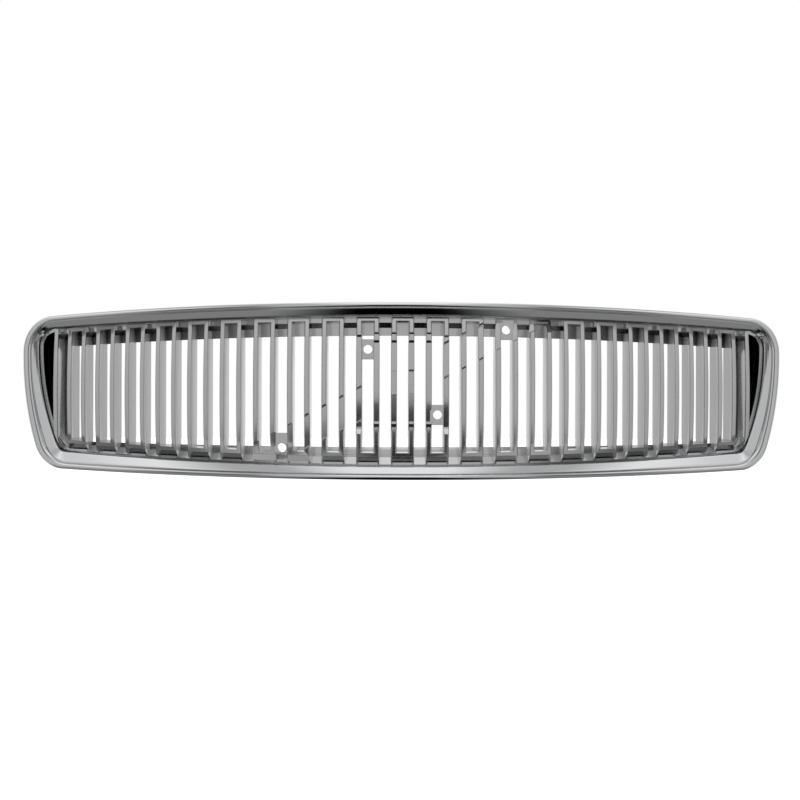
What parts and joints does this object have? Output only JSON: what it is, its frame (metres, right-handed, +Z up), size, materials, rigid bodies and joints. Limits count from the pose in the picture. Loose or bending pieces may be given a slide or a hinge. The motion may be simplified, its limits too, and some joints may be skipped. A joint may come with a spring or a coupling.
{
  "type": "front grille",
  "caption": "Curved chrome-plated front grille with upright hoop-shaped fins in a rounded surround, with an empty emblem seat and spring clips for a car's nose panel.",
  "frame": {"origin": "centre of the grille's overall box", "axes": "+X towards the right-hand end seen from in front, -Y is the face that looks forward from the car, +Z up"},
  "size_m": [0.7764, 0.1205, 0.1718],
  "materials": {
    "surround_chrome": "bright chrome plating on moulded ABS",
    "insert_chrome": "chrome plating on moulded ABS, slightly darker than the surround",
    "zinc_screw": "zinc-plated steel",
    "spring_steel": "dark phosphated spring steel"
  },
  "bodies": {
    "root": {"surround": "surround_chrome", "fin_insert": "insert_chrome", "insert_screw_01": "zinc_screw", "insert_screw_02": "zinc_screw", "insert_screw_03": "zinc_screw", "insert_screw_04": "zinc_screw", "insert_screw_05": "zinc_screw", "insert_screw_06": "zinc_screw", "insert_screw_07": "zinc_screw", "insert_screw_08": "zinc_screw", "insert_screw_09": "zinc_screw", "insert_screw_10": "zinc_screw", "insert_screw_11": "zinc_screw", "insert_screw_12": "zinc_screw", "spring_clip_1": "spring_steel", "spring_clip_2": "spring_steel", "spring_clip_3": "spring_steel", "spring_clip_4": "spring_steel", "spring_clip_5": "spring_steel", "spring_clip_6": "spring_steel"}
  },
  "joints": []
}
